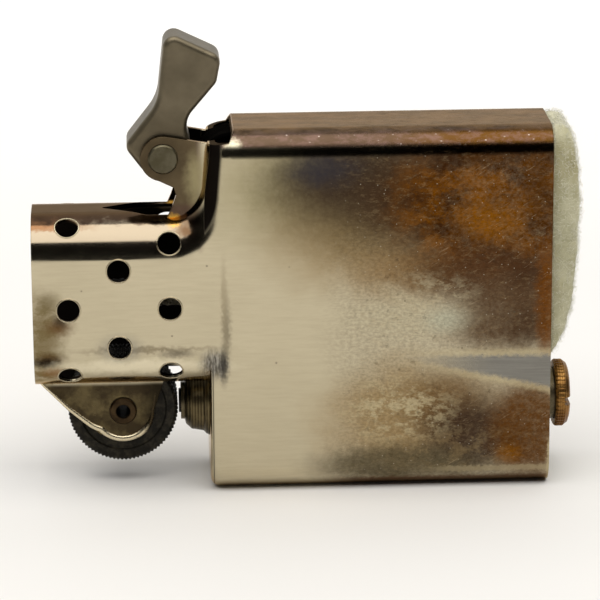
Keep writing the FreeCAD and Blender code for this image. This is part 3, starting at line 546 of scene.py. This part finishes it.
def turned_brass_shade_and_glints():
    """Tarnished brass with fine turning marks, painted glints along them and painted shade on its lower
    side.
    """
    p = Paint("tarnished_brass_shade_and_glints", Metallic=1.0)
    rings = p.wave(1.35, 0.4)
    tone = p.mix(p.step(p.noise(0.9, 4.0), 0.35, 0.65), (150, 110, 60), (112, 78, 40))
    # painted shade: darker below the screw's middle
    below = p.step(p.axis("Z", p.warped(0.8, 0.6)), SCREW.z, SCREW.z - 2.5)
    tone = p.mix(p.maths("MULTIPLY", below, 0.7), tone, (96, 56, 32))
    # painted highlights: bright glints on the turning marks
    tone = p.mix(p.maths("MULTIPLY", p.step(rings, 0.8, 0.98), 0.3), tone, (206, 164, 96))
    p.set(Base_Color=tone, Roughness=p.maths("MULTIPLY_ADD", p.noise(1.6), 0.2, 0.26))
    p.soft_edges(0.08)
    p.bump(rings, 0.3, 0.03)
    return p.material


def wheel_metal():
    """Blackened, oily tool steel with a little grey in patches."""
    p = Paint("blackened_wheel", Metallic=0.8)
    tone = p.mix(p.step(p.noise(1.6, 4.0, 0.65), 0.4, 0.68), (28, 26, 21), (52, 48, 39))
    p.set(Base_Color=tone, Roughness=p.maths("MULTIPLY_ADD", p.noise(2.0, 3.0), 0.2, 0.42))
    p.bump(p.noise(5.0, 3.0), 0.4, 0.02)
    return p.material


def rim_metal():
    """The rolled edges: bright where a thumb rubs them, darker towards the flint."""
    p = Paint("rolled_rim_steel", Metallic=1.0)
    # darker towards the flint
    dark = p.step(p.axis("X", p.warped(0.8, 0.4)), -16.2, -15.3)
    tone = p.mix(p.noise(1.2, 3.0), (196, 182, 148), (222, 210, 182))
    tone = p.mix(dark, tone, (56, 48, 34))
    p.set(Base_Color=tone, Roughness=p.maths("MULTIPLY_ADD", p.noise(2.4, 3.0), 0.15, 0.2))
    p.bump(p.noise(3.0, 3.0), 0.15, 0.01)
    return p.material


def hole_rim_metal():
    """The thin burrs round the chimney's holes."""
    p = Paint("hole_burr_steel", Metallic=1.0)
    tone = p.mix(p.noise(1.8, 3.0), (142, 130, 104), (204, 192, 164))
    p.set(Base_Color=tone, Roughness=p.maths("MULTIPLY_ADD", p.noise(2.4, 3.0), 0.2, 0.16))
    p.bump(p.noise(4.0, 3.0), 0.3, 0.01)
    return p.material


def fibre(name, dark, light, scale=2.0, sheen=0.4, dirt=None):
    """Matted fibres, felt or cotton, with yellowed places if dirt gives their colour."""
    p = Paint(name, Roughness=0.92, Sheen_Weight=sheen, Sheen_Roughness=0.5)
    soft = p.noise(scale * 0.25, 3.0)
    strands = p.noise(scale, 5.0, 0.75, stretch=(1.0, 0.45, 1.6))
    blend = p.maths("MULTIPLY_ADD", soft, 0.5, p.maths("MULTIPLY", strands, 0.5))
    tone = p.mix(p.step(blend, 0.3, 0.7), dark, light)
    if dirt:
        tone = p.mix(p.maths("MULTIPLY", p.step(p.noise(0.18, 3.0), 0.5, 0.7), 0.5), tone, dirt)
    p.set(Base_Color=tone)
    p.bump(strands, 0.6, 0.12)
    return p.material


def wick_cloth():
    """Braided cotton, charred at the chimney end."""
    p = Paint("wick_braid_cotton", Roughness=0.95, Sheen_Weight=0.2)
    char = p.step(p.axis("X", p.warped(0.8, 0.8)), -10.0, -17.5)
    tone = p.mix(p.noise(1.5, 4.0), (150, 138, 112), (188, 178, 150))
    p.set(Base_Color=p.mix(char, tone, (20, 18, 16)))
    p.bump(p.noise(4.0, 4.0), 0.5, 0.08)
    return p.material


# ---- mesh making ----

def piece(name, points, faces, material, body, smooth=True):
    """A mesh object from points in millimetres, riding on a CAD body."""
    mesh = bpy.data.meshes.new(name)
    mesh.from_pydata([tuple(c * MM for c in point) for point in points], [], faces)
    mesh.validate()
    mesh.polygons.foreach_set("use_smooth", [smooth] * len(mesh.polygons))
    mesh.materials.append(material)
    thing = bpy.data.objects.new(name, mesh)
    scene.collection.objects.link(thing)
    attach(thing, body)
    return thing


class Tubes:
    """Many tubes of round section gathered into one mesh."""

    def __init__(self):
        self.points = []
        self.faces = []

    def add(self, path, radius, sides=8, closed=False):
        """A tube along a path in millimetres; radius is a number or one for each point."""
        path = [Vector(point) for point in path]
        count = len(path)
        first = len(self.points)
        side = None
        for n, point in enumerate(path):
            before = path[n - 1] if n or closed else path[0]
            after = path[(n + 1) % count] if n < count - 1 or closed else path[-1]
            along = (after - before).normalized()
            if side is None:
                side = along.orthogonal().normalized()
            side = (side - along * side.dot(along)).normalized()
            other = along.cross(side)
            wide = radius[n] if hasattr(radius, "__len__") else radius
            for k in range(sides):
                turn = 2 * math.pi * k / sides
                self.points.append(point + wide * (math.cos(turn) * side + math.sin(turn) * other))
        for n in range(count if closed else count - 1):
            for k in range(sides):
                a, b = first + n * sides, first + (n + 1) % count * sides
                self.faces.append((a + k, a + (k + 1) % sides, b + (k + 1) % sides, b + k))
        if not closed:
            self.faces.append(tuple(first + k for k in reversed(range(sides))))
            self.faces.append(tuple(first + (count - 1) * sides + k for k in range(sides)))

    def make(self, name, material, body):
        return piece(name, self.points, self.faces, material, body)


def revolved(profile, radius_at, steps, centre):
    """Points and faces of a wheel about Y: profile rows are (y, radius, share of radius_at's cut)."""
    points, faces = [], []
    for y, radius, share in profile:
        for n in range(steps):
            turn = 2 * math.pi * n / steps
            reach = radius - share * radius_at(turn, y)
            points.append((centre.x + reach * math.cos(turn), y, centre.z + reach * math.sin(turn)))
    rows = len(profile)
    for row in range(rows):
        after = (row + 1) % rows
        for n in range(steps):
            m = (n + 1) % steps
            faces.append((row * steps + n, row * steps + m, after * steps + m, after * steps + n))
    return points, faces


def spark_wheel(material):
    """The spark wheel: fine straight teeth at both sides and a cross-cut band between two grooves."""
    teeth, depth, skew = 84, 0.17, 0.55
    outer, half, bore = 5.4, 2.3, 1.0
    band, groove = 1.15, 1.4

    def ridge(turn):
        return abs((turn * teeth / (2 * math.pi)) % 1.0 - 0.5) * 2

    def cut(turn, y):
        if abs(y) > groove:
            return depth * ridge(turn)
        if abs(y) > band:
            return depth * 1.5
        return depth * max(ridge(turn + skew * y / outer), ridge(turn - skew * y / outer))

    across = [-1.0 + 2 * n / 26 for n in range(27)]
    treads = [(share * (half - 0.18), outer, 1.0) for share in across]
    # one side: the tread's edge, a dished web between two rings, and the bore's chamfer
    side = [(half, outer - 0.35, 0.2), (half, 4.3, 0.0), (half - 0.12, 4.15, 0.0),
            (half - 0.12, 2.1, 0.0), (half, 1.95, 0.0), (half, bore + 0.1, 0.0),
            (half - 0.1, bore, 0.0)]
    profile = treads + side + [(-y, radius, share) for y, radius, share in reversed(side)]
    points, faces = revolved(profile, cut, teeth * 6, WHEEL)
    wheel = piece("spark_wheel_toothed", points, faces, material, "wheel",
                  smooth=False)
    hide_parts("spark_wheel")


def onto_chimney(origin, direction):
    """Where a ray from inside the chimney meets its outer surface, found by halving."""
    def outside(point):
        height = abs(point.z - CHIMNEY_Z)
        across = max(abs(point.y) - (FACE_Y - CHIMNEY_CORNER), 0.0)
        up = max(height - (CHIMNEY_HALF_Z - CHIMNEY_CORNER), 0.0)
        flat = max(abs(point.y) - FACE_Y, height - CHIMNEY_HALF_Z)
        return math.hypot(across, up) - CHIMNEY_CORNER if across > 0 and up > 0 else flat

    near, reach, halvings = 0.0, 12.0, 30
    for _ in range(halvings):
        middle = (near + reach) / 2
        if outside(origin + direction * middle) < 0:
            near = middle
        else:
            reach = middle
    return origin + direction * near


def hole_rims(material):
    """A thin burr round each of the chimney's sixteen holes."""
    radius, burr, steps, sunk = 1.17, 0.085, 40, 0.03
    outer_x, middle_x, inner_x = END_X - 46.75, END_X - 41.87, END_X - 36.95
    row, pitch = 18.85, 3.85
    flat = CHIMNEY_HALF_Z - CHIMNEY_CORNER
    high, low = CHIMNEY_Z + flat, CHIMNEY_Z - flat
    drilled_from_y = FACE_Y - CHIMNEY_CORNER
    # X, Z and the drill's lean in degrees: four holes on the flat and four on the rounded corners
    holes = [(outer_x, row, 0), (inner_x, row, 0),
             (middle_x, row + pitch, 0), (middle_x, row - pitch, 0),
             (outer_x, high, 53), (inner_x, high, 27), (outer_x, low, -39), (inner_x, low, -33)]
    rims = Tubes()
    for side in (-1, 1):
        for x, z, angle in holes:
            lean = math.radians(angle)
            axis = Vector((0.0, side * math.cos(lean), math.sin(lean)))
            start = Vector((x, side * (drilled_from_y if angle else 0.0), z))
            across = Vector((1.0, 0.0, 0.0))
            up = axis.cross(across)
            ring = []
            for n in range(steps):
                turn = 2 * math.pi * n / steps
                origin = start + radius * (math.cos(turn) * across + math.sin(turn) * up)
                ring.append(onto_chimney(origin, axis) - axis * sunk)
            rims.add(ring, burr, 6, closed=True)
    rims.make("hole_rims", material, "insert")


def rounded(path):
    """The same line with each corner cut at a quarter of both its runs."""
    cut = [path[0]]
    for a, b in zip(path, path[1:]):
        cut += [a.lerp(b, 0.25), a.lerp(b, 0.75)]
    return cut + [path[-1]]


def ear_rims(material):
    """The rolled edge along each wheel ear, from the chimney's mouth round the lobe."""
    lobe, ear_y, thick = 2.88, 2.86, 0.34
    # X and Z from the wheel's centre: down the sloping edge, and up again behind the lobe
    front = [(-8.05, 3.1), (-6.7, 1.75), (-5.35, 0.35), (-4.5, -0.33), (-3.7, -0.98), (-2.9, -1.6)]
    turns = [math.radians(degrees) for degrees in range(220, 362, 6)]
    edge = front + [(lobe * math.cos(turn), lobe * math.sin(turn)) for turn in turns]
    edge += [(3.1, 1.2), (3.3, 2.4)]
    rims = Tubes()
    for side in (-1, 1):
        path = rounded(rounded([Vector((WHEEL.x + x, side * ear_y, WHEEL.z + z)) for x, z in edge]))
        count = len(path)
        widths = [thick * min(1.0, 0.45 + 3.0 * n / count, 0.35 + 2.2 * (count - n) / count)
                  for n in range(count)]
        rims.add(path, widths, 10)
    rims.make("wheel_ear_rims", material, "insert")


def screw_knurl(material):
    """Fine ridges round the screw head's rim."""
    ridges, reach, wire = 46, 3.24, 0.1
    knurl = Tubes()
    for n in range(ridges):
        turn = 2 * math.pi * n / ridges
        out = Vector((0.0, math.cos(turn), math.sin(turn)))
        path = [Vector((END_X + x, 0.0, WHEEL.z)) + out * (reach + lift)
                for x, lift in ((1.02, -0.12), (1.15, 0.0), (1.8, 0.0), (1.95, -0.14))]
        knurl.add(path, wire, 5)
    knurl.make("screw_knurl", material, "screw")


def wick(material):
    """The braided wick: two families of strands that cross, round a soft core, with a frayed tip."""
    strands, turns, lift, thread = 8, 11.0, 0.16, 0.21
    start, stop, reach, soft_core = -22.0, 18.7, 1.16, 0.98
    steps, frayed = 190, 60
    braid = Tubes()
    for way in (-1, 1):
        for n in range(strands):
            path = []
            for k in range(steps):
                share = k / (steps - 1)
                turn = way * share * turns * 2 * math.pi + 2 * math.pi * n / strands
                over = lift * 0.5 * way * math.sin(share * turns * strands * 2 * math.pi + math.pi * n)
                wide = (reach + over) * min(1.0, 0.72 + 12 * share)
                path.append((start + share * (stop - start), wide * math.cos(turn),
                             WICK.z + wide * math.sin(turn)))
            braid.add(path, thread, 6)
    core = [(start + 0.4 + n * (stop - start - 0.5) / 30, 0.0, WICK.z) for n in range(31)]
    braid.add(core, soft_core, 12)
    draw = random.Random(11)
    for _ in range(frayed):
        turn, out = draw.uniform(0, 2 * math.pi), draw.uniform(0.2, 1.0)
        aim = Vector((0.0, math.cos(turn), math.sin(turn)))
        root = Vector((start + 0.5, 0.0, WICK.z)) + aim * out
        tip = root + Vector((-draw.uniform(0.4, 0.9), 0.0, 0.0)) + aim * draw.uniform(0.0, 0.35)
        braid.add([root, (root + tip) / 2 + aim * 0.06, tip], [0.06, 0.05, 0.03], 4)
    thing = braid.make("wick_braided", material, "insert")
    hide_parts("wick_braid")


def flint_coil(material):
    """The long spring behind the flint, closed at both ends."""
    low, high = box_mm("flint_spring")
    wire, turns, steps, travel = 0.2, 22, 16, 2.0
    reach = high.y - wire
    path = []
    for k in range(turns * steps + 1):
        share = k / (turns * steps)
        ends = 0.5 - 0.5 * math.cos(math.pi * share)
        along = low.x + wire + (high.x - low.x - 2 * wire) * (0.8 * share + 0.2 * ends)
        turn = 2 * math.pi * turns * share
        path.append((along, reach * math.cos(turn), WHEEL.z + reach * math.sin(turn)))
    coil = Tubes()
    coil.add(path, wire, 6)
    thing = coil.make("flint_spring_coil", material, "spring_seat")
    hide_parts("flint_spring")
    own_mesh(thing)


def softened(node, name, voxel, lumps, rough, material, body, relax=6):
    """A soft copy of a plain CAD solid: remeshed, relaxed, then pushed about by noise.

    voxel is in millimetres; lumps and rough are (features to the millimetre, height) pairs.
    """
    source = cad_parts[node]
    mesh = source.data.copy()
    thing = bpy.data.objects.new(name, mesh)
    scene.collection.objects.link(thing)
    remesh = thing.modifiers.new("remesh", "REMESH")
    remesh.mode = "VOXEL"
    remesh.voxel_size = voxel * MM
    smooth = thing.modifiers.new("relax", "SMOOTH")
    smooth.iterations = relax
    smooth.factor = 0.5
    result = bpy.data.meshes.new_from_object(thing.evaluated_get(bpy.context.evaluated_depsgraph_get()))
    thing.modifiers.clear()
    thing.data = result
    result.name = name
    for vertex in result.vertices:
        spot = vertex.co / MM
        push = lumps[1] * noise.noise(spot * lumps[0]) + rough[1] * noise.noise(spot * rough[0])
        vertex.co += vertex.normal * push * MM
    result.polygons.foreach_set("use_smooth", [True] * len(result.polygons))
    result.materials.clear()
    result.materials.append(material)
    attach(thing, body)
    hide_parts(node)
    return thing


def fuzz(host, name, count, length, radius, material, body, seed, keep=lambda spot: True):
    """Short curly fibres that stand on a soft piece's surface, on the faces that keep lets through."""
    draw = random.Random(seed)
    joints = 5
    faces = [f for f in host.data.polygons if keep(f.center / MM)]
    fibres = Tubes()
    for _ in range(count):
        face = draw.choice(faces)
        root = face.center / MM
        out = face.normal.copy()
        side = Vector([draw.uniform(-1, 1) for _ in range(3)])
        side = (side - out * side.dot(out)).normalized()
        other = out.cross(side)
        reach = draw.uniform(*length)
        curl = draw.uniform(0.5, 1.6)
        path = []
        for k in range(joints + 1):
            share = k / joints
            bend = curl * share * share
            path.append(root - out * 0.05 + reach * (share * 0.8 * out * math.cos(bend)
                        + share * side * math.sin(bend) + 0.12 * math.sin(5 * share + curl) * other))
        fibres.add(path, [radius * (1 - 0.6 * k / joints) for k in range(joints + 1)], 3)
    thing = fibres.make(name, material, body)
    thing.parent = host
    return thing


def soft_pieces():
    """Felt pad in two parts and the cotton tufts, each with its own fibres."""
    wool = fibre("felt_wool", (176, 171, 134), (212, 208, 178), 1.6, 0.5, (172, 162, 116))
    hairs = fibre("felt_hairs", (226, 223, 200), (242, 240, 226), 2.0, 0.5)
    cotton = fibre("cotton_tuft", (206, 198, 182), (236, 230, 218), 1.4, 0.4)
    threads = fibre("cotton_threads", (222, 216, 204), (244, 240, 232), 2.0, 0.4)
    flap = softened("felt_flap", "felt_flap_fuzzy", 0.32, (0.35, 0.22), (1.6, 0.10), wool,
                    "felt")
    anchor = softened("felt_anchor", "felt_anchor_fuzzy", 0.32, (0.35, 0.08), (1.6, 0.06), wool,
                      "insert", relax=3)
    fuzz(flap, "felt_flap_hairs", 4200, (0.25, 0.85), 0.02, hairs, "felt", 3,
         lambda spot: spot.x > END_X - 0.2)
    fuzz(anchor, "felt_anchor_hairs", 500, (0.15, 0.4), 0.02, hairs, "insert", 4,
         lambda spot: spot.x > END_X - 0.6)
    tufts, clear_of_shell = 5, 4.6
    for n in range(1, tufts + 1):
        node = f"packing_ball_{n}"
        tuft = softened(node, f"cotton_tuft_{n}", 0.45, (0.28, 0.9), (1.1, 0.35), cotton,
                        "insert", relax=2)
        fuzz(tuft, f"cotton_threads_{n}", 260, (0.5, 1.3), 0.03, threads, "insert",
             20 + n, lambda spot: abs(spot.y) < clear_of_shell)


def dress_frame():
    """Gives every CAD node its material, and adds the pieces that go on the nodes or stand for them."""
    steel = plain_metal("dull_inner_steel", (84, 76, 58), (116, 106, 84), 0.4)
    collar = plain_metal("oily_collar_steel", (52, 43, 29), (86, 74, 51), 0.34, rings=1.1)
    rivet = plain_metal("rivet_steel", (84, 78, 60), (102, 96, 78), 0.42)
    dark_rivet = plain_metal("oily_rivet_steel", (44, 34, 24), (70, 56, 38), 0.4, hollow=(WHEEL, 0.75))
    # painted shade: the cam spring, which sits in shade between the ears, is black, dull and without
    # sheen
    shade_black_leaf = plain_metal("shade_black_leaf_steel", (9, 8, 7), (16, 14, 12), 0.85, metallic=0.0)
    spring = plain_metal("spring_steel", (62, 58, 52), (98, 92, 82), 0.34)
    alloy = plain_metal("flint_alloy", (46, 42, 40), (70, 66, 62), 0.6)
    copper = plain_metal("bare_copper", (150, 84, 48), (184, 112, 66), 0.35)
    brass = turned_brass_shade_and_glints()
    shade_black_leaf.node_tree.nodes["Principled BSDF"].inputs["Specular IOR Level"].default_value = 0.0
    looks = {
        "insert_shell": stained_shell(), "deck_plate": steel, "flint_tube": steel,
        "tube_ferrule": collar, "wheel_rivet": dark_rivet, "cam_rivet": rivet, "cam_spring": shade_black_leaf,
        "flint": alloy, "cam_lever": cam_metal(), "flint_screw": brass, "flint_nib": brass,
        "wick_eyelet": brass, "wick_core_wire": copper,
    }
    for node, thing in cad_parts.items():
        thing.data.materials.clear()
        thing.data.materials.append(looks.get(node, alloy))
        for face in thing.data.polygons:
            face.material_index = 0
    spark_wheel(wheel_metal())
    burr, rim = hole_rim_metal(), rim_metal()
    hole_rims(burr)
    ear_rims(rim)
    screw_knurl(brass)
    flint_coil(spring)
    wick(wick_cloth())
    soft_pieces()


# ---- floor, light and camera ----

def floor():
    """A pale floor that glows a little, more behind the object, so it looks whiter there."""
    p = Paint("floor_white", Roughness=0.7)
    p.set(Base_Color=p.mix(p.noise(0.02, 2.0), (234, 232, 229), (241, 239, 236)))
    # painted light: the floor glows, more towards the back
    glow = p.step(p.axis("Y"), -20.0, 260.0)
    p.feed(p.shader.inputs["Emission Color"], colour((255, 255, 254)))
    p.feed(p.shader.inputs["Emission Strength"], p.maths("MULTIPLY", glow, 0.4))
    bpy.ops.mesh.primitive_plane_add(size=3.0)
    thing = bpy.context.object
    thing.name = "floor"
    thing.data.materials.append(p.material)


def soft_box():
    """One broad light overhead and a little in front."""
    light = bpy.data.lights.new("soft_box", "AREA")
    light.shape = "RECTANGLE"
    light.size = 0.9
    light.size_y = 0.53
    light.energy = 4.0
    light.color = (1.0, 0.985, 0.955)
    thing = bpy.data.objects.new("soft_box", light)
    scene.collection.objects.link(thing)
    thing.location = (0.0, -0.2, 0.5)


def room():
    """Light from all round, by direction: dark in front, dim overhead, bright behind."""
    world = bpy.data.worlds.new("room")
    scene.world = world
    world.use_nodes = True
    tree = world.node_tree
    coordinates = tree.nodes.new("ShaderNodeTexCoord")
    parts = tree.nodes.new("ShaderNodeSeparateXYZ")
    tree.links.new(coordinates.outputs["Generated"], parts.inputs[0])

    def ramp(source, low, high, start, stop):
        node = tree.nodes.new("ShaderNodeMapRange")
        node.interpolation_type = "SMOOTHSTEP"
        for name, value in (("From Min", low), ("From Max", high), ("To Min", start), ("To Max", stop)):
            node.inputs[name].default_value = value
        tree.links.new(source, node.inputs["Value"])
        return node.outputs["Result"]

    overhead = ramp(parts.outputs["Z"], 0.75, 0.98, 0.012, 0.2)
    behind = ramp(parts.outputs["Y"], -0.05, 0.4, 0.0, 0.8)
    total = tree.nodes.new("ShaderNodeMath")
    total.operation = "ADD"
    tree.links.new(overhead, total.inputs[0])
    tree.links.new(behind, total.inputs[1])
    tree.links.new(total.outputs[0], tree.nodes["Background"].inputs["Strength"])
    tree.nodes["Background"].inputs["Color"].default_value = (1.0, 0.99, 0.97, 1.0)


def camera():
    """Looks down a little at the broad face, turned a touch towards the bottom end."""
    elevation, turn, roll = math.radians(16.26), math.radians(2.78), math.radians(-0.356)
    distance = 323.9
    aim = Vector((END_X - 25.0, 0.0, 18.0)) * MM
    back = Vector((-math.cos(elevation) * math.sin(turn), -math.cos(elevation) * math.cos(turn),
                   math.sin(elevation)))
    data = bpy.data.cameras.new("camera")
    data.sensor_width = 36.0
    data.lens = 197.8
    data.shift_x = 0.0147
    data.shift_y = -0.002
    data.clip_start, data.clip_end = 0.01, 10.0
    thing = bpy.data.objects.new("camera", data)
    scene.collection.objects.link(thing)
    thing.location = aim + back * distance * MM
    facing = (-back).to_track_quat("-Z", "Y").to_matrix().to_4x4()
    thing.rotation_euler = (facing @ Matrix.Rotation(roll, 4, "Z")).to_euler()
    scene.camera = thing


scene.view_settings.view_transform = "Standard"
dress_frame()
floor()
soft_box()
room()
camera()
